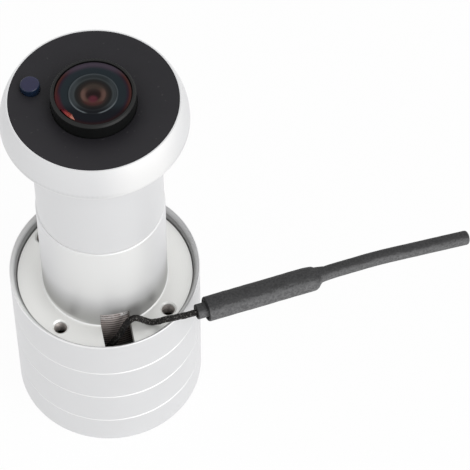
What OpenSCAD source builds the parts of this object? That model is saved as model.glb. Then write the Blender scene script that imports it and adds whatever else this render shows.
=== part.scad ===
// Peephole door camera: a lens head on a threaded neck, screwed into a round
// body that stays on the inside of the door. All lengths are in millimetres.
// The optical axis is +Z, the rear face stands at z = 0 and the cable notch
// faces -Y.

/* [Body] */
// Outer diameter of the round body
body_d = 36; // [34:0.1:42]
// Height of the body, from the rear edge to the top of the rim
body_h = 34.7; // [34:0.1:44]
// Wall of the body shell at the rim
body_wall = 1.2; // [0.9:0.05:1.4]
// Chamfer on the edges of the shell
shell_chamfer = 0.15; // [0.1:0.05:0.35]
// Height of the lowest turned groove
first_groove_z = 7.35; // [5:0.05:9]
// Spacing of the turned grooves
groove_pitch = 8.85; // [6:0.05:9]
// Number of turned grooves
groove_count = 3; // [1:1:3]
// Depth of a turned groove
groove_depth = 0.2; // [0.1:0.05:0.4]

// Height of the sloping lip inside the rim
lip_h = 1.7; // [0.9:0.05:1.8]

/* [Front plate] */
// How far the plate lies below the rim
plate_recess = 2.15; // [1:0.05:3]
// Thickness of the plate
plate_t = 3.5; // [3:0.1:5]
// Gap between the plate and the shell
plate_gap = 0.15; // [0.1:0.05:0.3]
// Width of the step that the plate and the rear cover seat on
seat_w = 0.4; // [0.3:0.05:0.8]
// Width of the cable notch
notch_w = 5.6; // [4:0.1:6.5]
// Height of the notch in the collar, above the plate
notch_rise = 3.8; // [1:0.1:6]
// Tapping diameter of the fixing holes
hole_d = 2.5; // [2:0.05:3]
// Diameter of the countersink at the fixing holes
hole_mouth_d = 3.2; // [3.1:0.05:3.6]
// Distance of the fixing holes from the edge of the plate
hole_edge = 2.15; // [1.9:0.05:2.4]
// Number of fixing holes
hole_count = 4; // [2:2:4]

/* [Neck] */
// Crest diameter of the threaded tube
tube_d = 21.3; // [20.8:0.1:21.6]
// Wall of the threaded tube
tube_wall = 1.25; // [1.1:0.05:1.4]
// Pitch of the thread
thread_pitch = 0.75; // [0.5:0.05:1]
// Depth of the thread
thread_depth = 0.3; // [0.2:0.05:0.4]
// How far the tube reaches below the top of the plate
tube_tail = 10.5; // [8:0.1:11]
// Wall of the lock collar, outside the thread
collar_wall = 1.15; // [0.8:0.05:1.6]
// Length of the lock collar
collar_h = 24.25; // [15:0.05:35]
// Wall of the neck, outside the thread
neck_wall = 0.95; // [0.6:0.05:1.4]
// Length of the neck, from the collar to the underside of the flange
neck_h = 24.2; // [20:0.1:40]
// Chamfer on the ends of the collar and the neck
neck_chamfer = 0.15; // [0.1:0.05:0.35]
// Sloping foot where the collar stands on the plate
collar_foot = 0.2; // [0.1:0.05:0.3]
// How far the head can be unscrewed for a thicker door
head_travel = 12; // [4:1:14]

/* [Head] */
// Largest diameter of the flange
flange_d = 33.26; // [32.6:0.02:36]
// Diameter of the flange at its front edge
flange_face_d = 30.3; // [30.1:0.05:30.8]
// Height of the flange, from its underside to its front edge
flange_h = 7.15; // [6.9:0.05:9]
// Radius of the rounded edge of the flange
flange_round = 1.4; // [0.8:0.1:2]
// Fillet between the neck and the flange
flange_fillet = 0.6; // [0.2:0.1:1]
// Diameter of the black front disc
disc_d = 29.6; // [29.2:0.05:29.7]
// Thickness of the front disc at its edge
disc_t = 1.7; // [1.5:0.05:1.9]
// How far the front disc falls from its edge to the lens
disc_dish = 1.05; // [0.2:0.05:1.1]

/* [Lens] */
// Diameter of the lens head
lens_head_d = 14.9; // [14:0.05:15.4]
// How far the lens head stands above the edge of the disc
lens_stand = 2.05; // [1:0.05:3]
// Thread diameter of the lens
lens_thread_d = 12; // [11:0.1:12.4]
// Diameter of the front glass
glass_d = 13.5; // [12.6:0.05:13.8]
// Height of the dome of the front glass
dome_h = 2.4; // [1:0.1:3]
// Diameter of the light sensor
light_d = 3.5; // [2.6:0.05:3.6]
// How far the light sensor stands above the edge of the disc
light_stand = 0.95; // [0.3:0.05:2]
// Distance of the light sensor from the lens axis
light_radius = 11.4; // [10.6:0.05:11.7]
// Direction of the light sensor, from +X
light_angle = 155; // [130:1:240]

/* [Rear] */
// Thickness of the rear cover
cover_t = 2; // [1.6:0.1:2.6]
// How far the rear cover lies inside the rear edge
cover_recess = 0.6; // [0.4:0.05:1.2]
// Diameter of the pillars
pillar_d = 3.2; // [3:0.1:3.4]
// Gap between the pillars and the tube
pillar_gap = 0.35; // [0.2:0.05:0.6]
// Diameter of the rear screws
screw_d = 2; // [1.6:0.1:2.2]
// Diameter of the reset button
button_d = 2.8; // [2:0.1:3.2]
// Travel of the reset button
button_travel = 0.3; // [0.2:0.05:0.4]

/* [Boards] */
// Thickness of the main board
board_t = 1; // [0.8:0.1:1.2]
// Gap between the edges of the main board and the shell
board_gap = 1.15; // [0.5:0.05:2]
// Thickness of the sensor board
sensor_board_t = 1; // [0.8:0.1:1.2]
// Length of the lens carrier below the flange
carrier_h = 11.5; // [10.5:0.1:14]
// Width of the ribbon between the boards
ribbon_w = 6; // [4:0.5:8]
// Thickness of the ribbon
ribbon_t = 0.25; // [0.2:0.05:0.4]

/* [Antenna] */
// Diameter of the antenna lead
lead_d = 1.2; // [1:0.05:1.25]
// Outer diameter of the inner tube that the lead enters
ferrule_d = 2.9; // [2.6:0.1:3.4]
// How far the inner tube stands out of the sleeve
ferrule_out = 1.8; // [1:0.1:2.5]
// Diameter of the shrunk sleeve
sleeve_d = 4.8; // [4:0.1:5.5]
// Length of the shrunk sleeve
sleeve_len = 23.8; // [20:0.1:30]
// Diameter of the whip
whip_d = 2.7; // [2:0.1:2.8]
// Length of the whip
whip_len = 30.4; // [24:0.1:36]
// Direction of the sleeve in plan, from +X
antenna_heading = 10.3; // [0:0.1:25]
// Downward slope of the sleeve
antenna_droop = 4.5; // [0:0.5:8]

/* [Clearances] */
// Radial running clearance of the thread and other turned fits
run_clear = 0.05; // [0.03:0.01:0.08]
// Radial gap between parts that turn past each other in the head
turn_gap = 0.1; // [0.06:0.01:0.15]
// Gap between faces that meet without touching
face_gap = 0.1; // [0.05:0.01:0.2]
// Gap between the lens carrier and the tube around it
carrier_gap = 0.4; // [0.3:0.05:0.5]

/* [Hidden] */
$fn = 96;
eps = 0.01;

// Body and plate
body_r = body_d / 2;
bore_r = body_r - body_wall;
plate_r = bore_r - plate_gap;
seat_r = plate_r - seat_w;
hole_pcd = 2 * (plate_r - hole_edge);
plate_top = body_h - plate_recess;
plate_bottom = plate_top - plate_t;
// Lip inside the rim: its height, and the point where its slope changes
lip_z = body_h - lip_h;
lip_knee_r = bore_r + 0.35;
lip_knee_z = lip_z + 0.44 * lip_h;

// Threaded tube, collar and neck
tube_r = tube_d / 2;
tube_in_r = tube_r - tube_wall;
fit_r = tube_r + run_clear;
collar_r = fit_r + collar_wall;
neck_r = fit_r + neck_wall;
tube_bottom = plate_top - tube_tail;
collar_top = plate_top + collar_h;
neck_bottom = collar_top + face_gap;
flange_under = collar_top + neck_h;
tube_top = flange_under - 2;
key_w = 2;
key_depth = 0.5;
key_spare = 4;
key_leg = head_travel - key_spare;

// Flange: an arc from its widest ring up to its front edge
flange_r = flange_d / 2;
flange_wide_z = flange_under + flange_round;
face_z = flange_under + flange_h;
flare_dz = face_z - flange_wide_z;
flare_dr = (flange_d - flange_face_d) / 2;
flare_r = (flare_dz * flare_dz + flare_dr * flare_dr) / (2 * flare_dr);

// Inside of the head, downwards from the front disc
disc_r = disc_d / 2;
disc_under = face_z - disc_t;
recess_r = disc_r + turn_gap;
seal_t = 0.5;
ledge_z = disc_under - turn_gap / 2 - seal_t;
ledge_w = 1.1;
cavity_r = recess_r - ledge_w;
cavity_floor = flange_under + 1.2;
circlip_w = 1.3;
circlip_t = 0.7;
circlip_z = ledge_z - 0.5 - circlip_t;
circlip_r = cavity_r + 0.5;
circlip_gap = 4;

// Lens carrier, which slides in the tube and holds the lens
carrier_rim_r = cavity_r - 0.3;
carrier_rim_z = cavity_floor + 0.3;
carrier_rim_top = circlip_z - 0.2;
carrier_boss_r = circlip_r - circlip_w - 0.4;
hub_r = tube_in_r - carrier_gap;
hub_bottom = flange_under + 1.5 - carrier_h;
lens_r = lens_thread_d / 2;
lens_seat_r = lens_r + run_clear;
chip_room_r = hub_r - 2.3;
chip_room_h = 2.5;
chip_room_top = hub_bottom + chip_room_h;
wire_d = 0.5;
wire_gap = 1.2;
wire_room_w = 2.4;
wire_room_h = 1.5;
wire_hub_r = hub_r - 0.8;

// Lens, upwards from its rear end
lens_head_r = lens_head_d / 2;
lens_top = face_z + lens_stand;
lens_head_z = disc_under + 0.15;
lens_rear_z = chip_room_top + 0.5;
glass_r = glass_d / 2;
glass_sink = 2.8;
glass_lip = 0.3;
glass_seat_z = lens_top - glass_sink;
glass_edge_z = lens_top - glass_lip;
dome_r = (glass_r * glass_r + dome_h * dome_h) / (2 * dome_h);
hollow_r = 4.4;
hollow_drop = 1.1;
hollow_z = glass_seat_z - hollow_drop;
group_r = 4.6;
group_drop = 5.4;
group_z = glass_seat_z - group_drop;
second_t = 2.4;
second_top = group_z + second_t;
second_curve_r = 3.4;
second_rise = 1.2;
second_edge_r = 2.6;
spacer_rise = 0.9;
spacer_top = hollow_z + spacer_rise;
spacer_lip = 0.3;
spacer_mouth_r = 3.4;
spacer_throat_r = 2.8;
rear_r = 3.1;
rear_lens_z = lens_rear_z + 2;
rear_lens_t = 2.6;
rear_stop_r = 2.5;

// Sensor board and the parts on it
sensor_board_r = hub_r - face_gap;
sensor_board_z = hub_bottom - sensor_board_t;
chip_size = [7.2, 6.6, 0.9];
filter_side = 1.37 * chip_room_r;
filter_t = 0.5;
sensor_screw_d = 1.2;
sensor_screw_radius = (chip_room_r + hub_r) / 2;
sensor_screw_len = 4;
connector_size = [8, 3, 1.5];

// Rear cover and the parts in it
cover_z = cover_recess;
cover_top = cover_recess + cover_t;
cover_r = bore_r - plate_gap;
pillar_angles = [90, 210, 330];
pillar_radius = tube_r + pillar_gap + pillar_d / 2;
screw_head_d = screw_d * 1.9;
screw_len = 7;
guide_x = 11;
guide_size = [4, 4, 3.2];

// Route of the antenna lead, from its plug on the board to the antenna, with
// heights counted from the top of the plate
lead_shape = [
    [-3.3, -2.1, -13.4], [-2.6, -2.1, -13.4], [-1.6, -2.4, -13.4],
    [-0.5, -3.3, -13.4],
    [0.1, -5, -13.4], [0, -7, -13.2], [-0.6, -9.1, -12.7],
    [-1.2, -11, -11.4], [-1.6, -12, -9.4], [-1.6, -12.4, -7],
    [-1, -12.8, -4.8], [-0.1, -12.9, -3.1], [1.1, -12.7, -0.8],
    [2.4, -12.5, 1.5], [3.6, -12.5, 2.3], [4.5, -12.7, 2],
    [5.4, -12.9, 1.4], [6.6, -13.1, 0.8], [7.4, -13.4, 1.2],
    [8.1, -13.8, 1.9], [8.8, -14.1, 2.6], [9.6, -14.3, 3],
    [10.7, -14.4, 3.2], [11.9, -14.4, 3.3], [13.3, -14.4, 3.4],
    [14.9, -14.2, 3.5]
];
lead_sides = 8;

// Main board, upright across the body
board_w = 2 * (seat_r - board_gap);
board_bottom = cover_top + face_gap;
board_top = tube_bottom - 1;
board_front = -board_t / 2;
board_back = board_t / 2;
connector_h = 3;
connector_drop = 0.5;
usb_size = [7.6, 2.6, 5];
usb_x = 4.2;
usb_z = cover_z + 0.4;
usb_wall = 0.3;
usb_tongue_gap = 1.2;
usb_tongue_t = 0.5;
card_z = board_bottom + 0.1;
card_gap = 0.3;
card_size = [14.2, 1.8, board_top - connector_drop - connector_h - card_gap - card_z];
card_slot = [11.4, 1.1];
switch_size = [4, 3.8, 3];
switch_rise = 2.8;
switch_z = cover_top + switch_rise;
button_x = -5;
button_y = board_front - 2.3;
button_flange_d = button_d + 1;
button_z = cover_z + 0.3;
button_top = switch_z - 0.4 - button_travel - face_gap;
pipe_d = 1.4;
pipe_x = -1.5;
pipe_y = board_front - 1.1;
pipe_top = cover_top + 1;
led_size = [1.6, 1.4, 0.7];
chip_drop = 11.55;
chip_edge = 0.45;
wifi_size = [11, 2, 9.5];
wifi_place = [7.5, board_top - chip_drop];
processor_size = [7.5, 1, 7.5];
processor_place = [
    chip_edge + processor_size[0] / 2 - board_w / 2, board_top - chip_drop
];
coax_x = -5.8;
coax_z = plate_top + lead_shape[0][2];
coax_socket_d = 2;
coax_socket_h = 1.2;
coax_plug_d = 2.5;
coax_plug_h = 0.9;
coax_barrel_d = 1.3;
connector_z = board_top - connector_drop - connector_h;

// Ribbon: a wave that straightens as the head is unscrewed
ribbon_y = board_back + 1.4;
ribbon_bottom = connector_z + connector_h;
ribbon_top = sensor_board_z - connector_size[2];
ribbon_waves = 2;
ribbon_swing = 4.8;
ribbon_steps = 64;

// Antenna: a straight sleeve, then a whip that bends a little
ferrule_depth = 1.2;
ferrule_len = ferrule_out + 2;
ferrule_wall = 0.45;
sleeve_taper = 2.6;
whip_lift = 4.5;
whip_turn = 7;
whip_sag = 2;
whip_bend_share = 0.45;
whip_steps = 12;
whip_sides = 12;
whip_root = 0.6;
whip_fit = 0.12;

// Vector helpers and a tube swept along a list of points
function unit(v) = v / norm(v);
function heading(turn, droop) =
    [cos(droop) * cos(turn), cos(droop) * sin(turn), -sin(droop)];
function tangents(p) = [
    for (i = [0 : len(p) - 1])
        unit(p[min(i + 1, len(p) - 1)] - p[max(i - 1, 0)])
];
function carried(t, n, i = 0) =
    i == len(t) ? [] :
    let (m = unit(n - t[i] * (n * t[i]))) concat([m], carried(t, m, i + 1));
function tube_points(p, r, sides, t, n) = [
    for (i = [0 : len(p) - 1], j = [0 : sides - 1])
        let (a = 360 * j / sides)
        p[i] + r * (cos(a) * n[i] + sin(a) * cross(t[i], n[i]))
];
function tube_faces(rings, sides) = concat(
    [[for (j = [0 : sides - 1]) j]],
    [
        for (i = [0 : rings - 2], j = [0 : sides - 1], half = [0, 1])
            let (
                a = i * sides + j,
                b = i * sides + (j + 1) % sides,
                c = b + sides,
                d = a + sides
            )
            half == 0 ? [a, d, c] : [a, c, b]
    ],
    [[for (j = [sides - 1 : -1 : 0]) (rings - 1) * sides + j]]
);

module swept_tube(p, r, sides, side_on) {
    t = tangents(p);
    polyhedron(
        tube_points(p, r, sides, t, carried(t, side_on)),
        tube_faces(len(p), sides), convexity = 6
    );
}

// Places children with their +Z along a heading
module along(turn, droop) {
    rotate([0, 0, turn]) rotate([0, 90 + droop, 0]) children();
}

// Ring with a square section
module ring(r_out, r_in, z, h) {
    translate([0, 0, z]) difference() {
        cylinder(r = r_out, h = h);
        translate([0, 0, -eps]) cylinder(r = r_in, h = h + 2 * eps);
    }
}

// Box given by its middle in X, its sides in Y and its bottom in Z
module block(x, y0, y1, z, w, h) {
    translate([x - w / 2, min(y0, y1), z]) cube([w, abs(y1 - y0), h]);
}

// Box that is cut into a turned part from a radius outwards
module radial_cut(angle, r_from, r_to, w, z, h) {
    rotate([0, 0, angle])
        translate([r_from, -w / 2, z]) cube([r_to - r_from, w, h]);
}

module at_polar(angle, r) {
    rotate([0, 0, angle]) translate([r, 0, 0]) children();
}

// Body

module groove_2d(r, z) {
    polygon([
        [r - groove_depth, z],
        [r + eps, z + groove_depth + eps],
        [r + eps, z - groove_depth - eps]
    ]);
}

module shell_2d() {
    c = shell_chamfer;
    difference() {
        polygon([
            [bore_r, 0], [body_r - c, 0], [body_r, c],
            [body_r, body_h - c], [body_r - c, body_h],
            [lip_knee_r, lip_knee_z], [bore_r, lip_z],
            [bore_r, plate_bottom], [seat_r, plate_bottom],
            [seat_r, cover_top], [bore_r, cover_top]
        ]);
        for (i = [0 : groove_count - 1])
            groove_2d(body_r, first_groove_z + i * groove_pitch);
    }
}

module body_shell() {
    color("gainsboro") rotate_extrude() shell_2d();
}

module front_plate() {
    mouth_depth = (hole_mouth_d - hole_d) / 2;
    color("lightgray") difference() {
        ring(plate_r, fit_r, plate_bottom, plate_t);
        radial_cut(-90, fit_r - 1, body_r, notch_w, plate_bottom - eps,
            plate_t + 2 * eps);
        for (i = [0 : hole_count - 1])
            at_polar(45 + i * 360 / hole_count, hole_pcd / 2) {
                translate([0, 0, plate_bottom - eps])
                    cylinder(d = hole_d, h = plate_t + 2 * eps);
                translate([0, 0, plate_top - mouth_depth])
                    cylinder(d1 = hole_d, d2 = hole_mouth_d + 2 * eps,
                        h = mouth_depth + eps);
            }
    }
}

module lock_collar() {
    c = neck_chamfer;
    color("gainsboro") difference() {
        rotate_extrude() polygon([
            [fit_r, plate_top], [collar_r + collar_foot, plate_top],
            [collar_r, plate_top + collar_foot], [collar_r, collar_top - c],
            [collar_r - c, collar_top], [fit_r, collar_top]
        ]);
        radial_cut(-90, fit_r - 1, body_r, notch_w, plate_top - eps,
            notch_rise + eps);
    }
}

module thread_tube() {
    root_r = tube_r - thread_depth;
    turns = floor((tube_top - tube_bottom) / thread_pitch) - 1;
    color("silver") difference() {
        rotate_extrude() polygon(concat(
            [[tube_in_r, tube_bottom], [root_r, tube_bottom]],
            [
                for (i = [0 : turns - 1], half = [0, 1])
                    [
                        half == 0 ? root_r : tube_r,
                        tube_bottom + (i + 0.5 + half / 2) * thread_pitch
                    ]
            ],
            [
                [root_r, tube_bottom + (turns + 0.5) * thread_pitch],
                [root_r, tube_top], [tube_in_r, tube_top]
            ]
        ));
        radial_cut(90, tube_in_r - 1, tube_in_r + key_depth + turn_gap,
            key_w + 2 * turn_gap, tube_bottom - eps,
            tube_top - tube_bottom + 2 * eps);
    }
}

module pillars() {
    color("silver") for (angle = pillar_angles) at_polar(angle, pillar_radius)
        difference() {
            translate([0, 0, cover_top])
                cylinder(d = pillar_d, h = plate_bottom - cover_top);
            translate([0, 0, cover_top - eps])
                cylinder(d = screw_d + 2 * run_clear, h = screw_len);
        }
}

module rear_cover() {
    head_depth = (screw_head_d - screw_d) / 2;
    color("dimgray") difference() {
        union() {
            translate([0, 0, cover_z]) cylinder(r = cover_r, h = cover_t);
            for (side = [-1, 1])
                block(side * guide_x, -guide_size[1] / 2, guide_size[1] / 2,
                    cover_top - eps, guide_size[0], guide_size[2] + eps);
        }
        block(0, board_front - face_gap, board_back + face_gap, cover_top,
            board_w + 2, guide_size[2] + 1);
        block(usb_x, board_front - usb_size[1] - 2 * face_gap, board_front,
            cover_z - eps, usb_size[0] + 4 * face_gap, cover_t + 2 * eps);
        block(0, board_back + 0.2, board_back + card_size[1] - 0.2,
            cover_z - eps, card_slot[0] + 0.6, cover_t + 2 * eps);
        translate([button_x, button_y, cover_z - eps])
            cylinder(d = button_d + 2 * turn_gap, h = cover_t + 2 * eps);
        translate([pipe_x, pipe_y, cover_z - eps])
            cylinder(d = pipe_d + 2 * run_clear, h = cover_t + 2 * eps);
        for (angle = pillar_angles) at_polar(angle, pillar_radius) {
            translate([0, 0, cover_z - eps])
                cylinder(d = screw_d + 2 * run_clear, h = cover_t + 2 * eps);
            translate([0, 0, cover_z - eps])
                cylinder(d1 = screw_head_d + 2 * run_clear + 2 * eps,
                    d2 = screw_d + 2 * run_clear, h = head_depth + eps);
        }
    }
}

module rear_screws() {
    head_depth = (screw_head_d - screw_d) / 2;
    color("silver") for (angle = pillar_angles) at_polar(angle, pillar_radius)
        translate([0, 0, cover_z]) difference() {
            union() {
                cylinder(d1 = screw_head_d, d2 = screw_d, h = head_depth);
                cylinder(d = screw_d, h = screw_len);
            }
            for (turn = [0, 90]) rotate([0, 0, turn])
                translate([-0.9, -0.2, -eps]) cube([1.8, 0.4, 0.5]);
        }
}

// Main board

module main_board() {
    color("darkgreen") block(0, board_front, board_back, board_bottom, board_w,
        board_top - board_bottom);
}

module on_front(place, size) {
    block(place[0], board_front, board_front - size[1], place[1], size[0],
        size[2]);
}

module processor() {
    color("black") on_front(processor_place, processor_size);
}

module wifi_module() {
    color("silver") on_front(wifi_place, wifi_size);
}

module usb_socket() {
    color("silver") difference() {
        on_front([usb_x, usb_z], usb_size);
        block(usb_x, board_front - usb_wall,
            board_front - usb_size[1] + usb_wall, usb_z - eps,
            usb_size[0] - 2 * usb_wall, usb_size[2] - 1);
    }
    tongue_y = board_front - usb_size[1] / 2;
    color("black") block(usb_x, tongue_y, tongue_y - usb_tongue_t,
        usb_z + 2 * usb_wall, usb_size[0] - 2 * usb_tongue_gap,
        usb_size[2] - 3 * usb_wall);
}

module card_socket() {
    color("silver") difference() {
        block(0, board_back, board_back + card_size[1], card_z, card_size[0],
            card_size[2]);
        block(0, board_back + (card_size[1] - card_slot[1]) / 2,
            board_back + (card_size[1] + card_slot[1]) / 2, card_z - eps,
            card_slot[0], card_size[2] - 0.5);
    }
}

module reset_switch() {
    color("black") {
        block(button_x, board_front, board_front - switch_size[1], switch_z,
            switch_size[0], switch_size[2]);
        translate([button_x, button_y, switch_z - 0.4])
            cylinder(d = 1.4, h = 0.4 + eps);
    }
}

module reset_button() {
    color("black") translate([button_x, button_y, 0]) {
        translate([0, 0, button_z])
            cylinder(d = button_d, h = cover_top + 0.6 - button_z);
        translate([0, 0, cover_top + face_gap])
            cylinder(d = button_flange_d, h = 0.6);
        translate([0, 0, cover_top])
            cylinder(d = button_d / 2, h = button_top - cover_top);
    }
}

module status_led() {
    color("white") block(pipe_x, board_front,
        pipe_y - led_size[1] / 2, pipe_top + face_gap, led_size[0],
        led_size[2]);
}

module light_pipe() {
    color("white") translate([pipe_x, pipe_y, cover_z + 0.1])
        cylinder(d = pipe_d, h = pipe_top - cover_z - 0.1);
}

module antenna_socket() {
    color("gold") translate([coax_x, board_front, coax_z]) rotate([90, 0, 0])
        cylinder(d = coax_socket_d, h = coax_socket_h);
}

module antenna_plug() {
    y = board_front - coax_socket_h;
    barrel_x = coax_x + coax_socket_d / 2 + run_clear;
    color("gold") {
        translate([coax_x, y, coax_z]) rotate([90, 0, 0])
            cylinder(d = coax_plug_d, h = coax_plug_h);
        translate([barrel_x, lead_shape[0][1], coax_z]) rotate([0, 90, 0])
            cylinder(d = coax_barrel_d, h = lead_shape[0][0] - barrel_x);
    }
}

module board_connector() {
    color("ivory") block(0, board_back, ribbon_y + 1.2, connector_z,
        connector_size[0], connector_h);
}

function ribbon_point(i) =
    let (s = i / ribbon_steps)
    [
        ribbon_y * (1 - s)
            + ribbon_swing * sin(360 * ribbon_waves * s) * sin(180 * s),
        ribbon_bottom + s * (ribbon_top - ribbon_bottom)
    ];

module ribbon_cable() {
    p = [for (i = [0 : ribbon_steps]) ribbon_point(i)];
    side = [
        for (i = [0 : ribbon_steps])
            let (d = unit(p[min(i + 1, ribbon_steps)] - p[max(i - 1, 0)]))
            i == 0 || i == ribbon_steps ? [1, 0] : [d[1], -d[0]]
    ];
    edge = ribbon_t / 2;
    color("white") translate([-ribbon_w / 2, 0, 0])
        rotate([90, 0, 90]) linear_extrude(ribbon_w) polygon(concat(
            [for (i = [0 : ribbon_steps]) p[i] + edge * side[i]],
            [for (i = [ribbon_steps : -1 : 0]) p[i] - edge * side[i]]
        ));
}

// Head

module head_2d() {
    c = neck_chamfer;
    difference() {
        union() {
            polygon([
                [fit_r, neck_bottom], [neck_r - c, neck_bottom],
                [neck_r, neck_bottom + c], [neck_r, flange_wide_z],
                [fit_r, flange_wide_z]
            ]);
            translate([neck_r, flange_under - flange_fillet])
                difference() {
                    translate([-eps, 0])
                        square([flange_fillet + eps, flange_fillet + eps]);
                    translate([flange_fillet, 0]) circle(flange_fillet);
                }
            translate([fit_r, flange_under])
                square([flange_r - flange_round - fit_r, flange_round]);
            translate([flange_r - flange_round, flange_wide_z])
                circle(flange_round);
            intersection() {
                translate([flange_r - flare_r, flange_wide_z])
                    circle(flare_r, $fn = 360);
                translate([fit_r, flange_wide_z])
                    square([flange_r - fit_r + eps, flare_dz]);
            }
        }
        translate([0, cavity_floor])
            square([cavity_r, face_z - cavity_floor + eps]);
        translate([0, ledge_z])
            square([recess_r, face_z - ledge_z + eps]);
        translate([0, circlip_z - turn_gap])
            square([circlip_r + turn_gap, circlip_t + 2 * turn_gap]);
    }
}

module head_shell() {
    color("gainsboro") rotate_extrude() head_2d();
}

module core_circlip() {
    color("silver") difference() {
        ring(circlip_r, circlip_r - circlip_w, circlip_z, circlip_t);
        radial_cut(0, 1, circlip_r + 1, circlip_gap, circlip_z - eps,
            circlip_t + 2 * eps);
    }
}

module front_seal() {
    color("dimgray") ring(recess_r - turn_gap, cavity_r + turn_gap, ledge_z,
        seal_t);
}

// Lens core

module front_disc() {
    hole_r = lens_head_r + 0.15;
    color("black") difference() {
        rotate_extrude() polygon([
            [hole_r, disc_under], [disc_r, disc_under], [disc_r, face_z],
            [hole_r, face_z - disc_dish]
        ]);
        at_polar(light_angle, light_radius) translate([0, 0, disc_under - eps])
            cylinder(d = light_d + 2 * run_clear, h = disc_t + 2 * eps);
    }
}

module light_sensor() {
    edge = 0.25;
    h = disc_t + light_stand;
    color("midnightblue") at_polar(light_angle, light_radius)
        translate([0, 0, disc_under]) rotate_extrude() polygon([
            [0, 0], [light_d / 2, 0], [light_d / 2, h - edge],
            [light_d / 2 - edge, h], [0, h]
        ]);
}

// One lead: down through the boss, in under the rim, down beside the hub
module sensor_lead(side) {
    y = side * wire_gap / 2;
    bend_z = carrier_rim_z + wire_room_h / 2;
    translate([light_radius, y, bend_z])
        cylinder(d = wire_d, h = disc_under - bend_z);
    translate([light_radius, y, bend_z]) sphere(d = wire_d);
    translate([wire_hub_r, y, bend_z]) rotate([0, 90, 0])
        cylinder(d = wire_d, h = light_radius - wire_hub_r);
    translate([wire_hub_r, y, bend_z]) sphere(d = wire_d);
    translate([wire_hub_r, y, hub_bottom])
        cylinder(d = wire_d, h = bend_z - hub_bottom);
}

module sensor_leads() {
    color("red") rotate([0, 0, light_angle])
        for (side = [-1, 1]) sensor_lead(side);
}

module lens_carrier() {
    color("dimgray") difference() {
        union() {
            rotate_extrude() polygon([
                [lens_seat_r, hub_bottom], [hub_r, hub_bottom],
                [hub_r, carrier_rim_z], [carrier_rim_r, carrier_rim_z],
                [carrier_rim_r, carrier_rim_top],
                [carrier_boss_r, carrier_rim_top],
                [carrier_boss_r, disc_under], [lens_seat_r, disc_under]
            ]);
            radial_cut(90, hub_r - 1, tube_in_r + key_depth, key_w, hub_bottom,
                tube_top - hub_bottom - 1);
            radial_cut(90, hub_r, tube_in_r + key_depth, key_w,
                hub_bottom - key_leg, key_leg + eps);
        }
        translate([0, 0, hub_bottom - eps])
            cylinder(r = chip_room_r, h = chip_room_top - hub_bottom + eps);
        radial_cut(light_angle, wire_hub_r - wire_d, hub_r + 1, wire_room_w,
            hub_bottom - eps, carrier_rim_z - hub_bottom + 2 * eps);
        radial_cut(light_angle, wire_hub_r - wire_d, light_radius + wire_d,
            wire_room_w, carrier_rim_z - eps, wire_room_h + eps);
        rotate([0, 0, light_angle]) for (side = [-1, 1])
            translate([light_radius, side * wire_gap / 2, carrier_rim_z])
                cylinder(d = wire_d + 2 * run_clear, h = disc_under);
        for (angle = [0, 180]) at_polar(angle, sensor_screw_radius)
            translate([0, 0, hub_bottom - eps])
                cylinder(d = sensor_screw_d + 2 * run_clear,
                    h = sensor_screw_len);
    }
}

module lens_barrel() {
    edge = 0.3;
    color("black") rotate_extrude() polygon([
        [rear_stop_r, lens_rear_z], [lens_r, lens_rear_z],
        [lens_r, lens_head_z], [lens_head_r, lens_head_z],
        [lens_head_r, lens_top - edge], [lens_head_r - edge, lens_top],
        [glass_r + run_clear, lens_top], [glass_r + run_clear, glass_seat_z],
        [group_r, glass_seat_z], [group_r, group_z], [rear_r, group_z],
        [rear_r, rear_lens_z], [rear_stop_r, rear_lens_z]
    ]);
}

module front_lens() {
    color("lightsteelblue", 0.5) rotate_extrude() difference() {
        intersection() {
            translate([0, glass_edge_z + dome_h - dome_r])
                circle(dome_r, $fn = 360);
            translate([0, glass_seat_z])
                square([glass_r, glass_edge_z + dome_h - glass_seat_z + eps]);
        }
        translate([0, hollow_z]) circle(hollow_r, $fn = 180);
    }
}

module spacer_ring() {
    r = group_r - run_clear;
    low = spacer_top - spacer_lip;
    color("black") rotate_extrude() polygon([
        [r, second_top], [r, low], [r - spacer_lip, spacer_top],
        [spacer_mouth_r, low], [spacer_throat_r, second_top]
    ]);
}

module second_lens() {
    color("lightsteelblue", 0.5) rotate_extrude() union() {
        translate([0, group_z])
            square([group_r - run_clear, second_top - group_z]);
        intersection() {
            translate([0, second_top + second_rise - second_curve_r])
                circle(second_curve_r);
            translate([0, second_top - eps])
                square([second_edge_r, second_rise + 2 * eps]);
        }
    }
}

module rear_lens() {
    bulge = 1;
    curve_r = (rear_r * rear_r + bulge * bulge) / (2 * bulge);
    color("lightsteelblue", 0.5) rotate_extrude() intersection() {
        translate([0, rear_lens_z + rear_lens_t - curve_r]) circle(curve_r);
        translate([0, rear_lens_z])
            square([rear_r - run_clear, rear_lens_t]);
    }
}

module ir_filter() {
    color("lightpink", 0.6) translate([
        -filter_side / 2, -filter_side / 2, chip_room_top - filter_t
    ]) cube([filter_side, filter_side, filter_t]);
}

module image_sensor() {
    color("darkslategray") translate([
        -chip_size[0] / 2, -chip_size[1] / 2, hub_bottom
    ]) cube(chip_size);
}

module sensor_board() {
    color("darkgreen") difference() {
        translate([0, 0, sensor_board_z])
            cylinder(r = sensor_board_r, h = sensor_board_t);
        for (angle = [0, 180]) at_polar(angle, sensor_screw_radius)
            translate([0, 0, sensor_board_z - eps])
                cylinder(d = sensor_screw_d + 2 * run_clear,
                    h = sensor_board_t + 2 * eps);
    }
}

module sensor_screws() {
    head_h = 0.7;
    color("silver") for (angle = [0, 180])
        at_polar(angle, sensor_screw_radius) {
            translate([0, 0, sensor_board_z - head_h])
                cylinder(d = sensor_screw_d + 0.6, h = head_h);
            translate([0, 0, sensor_board_z - eps])
                cylinder(d = sensor_screw_d,
                    h = sensor_board_t + sensor_screw_len - 0.5);
        }
}

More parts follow.
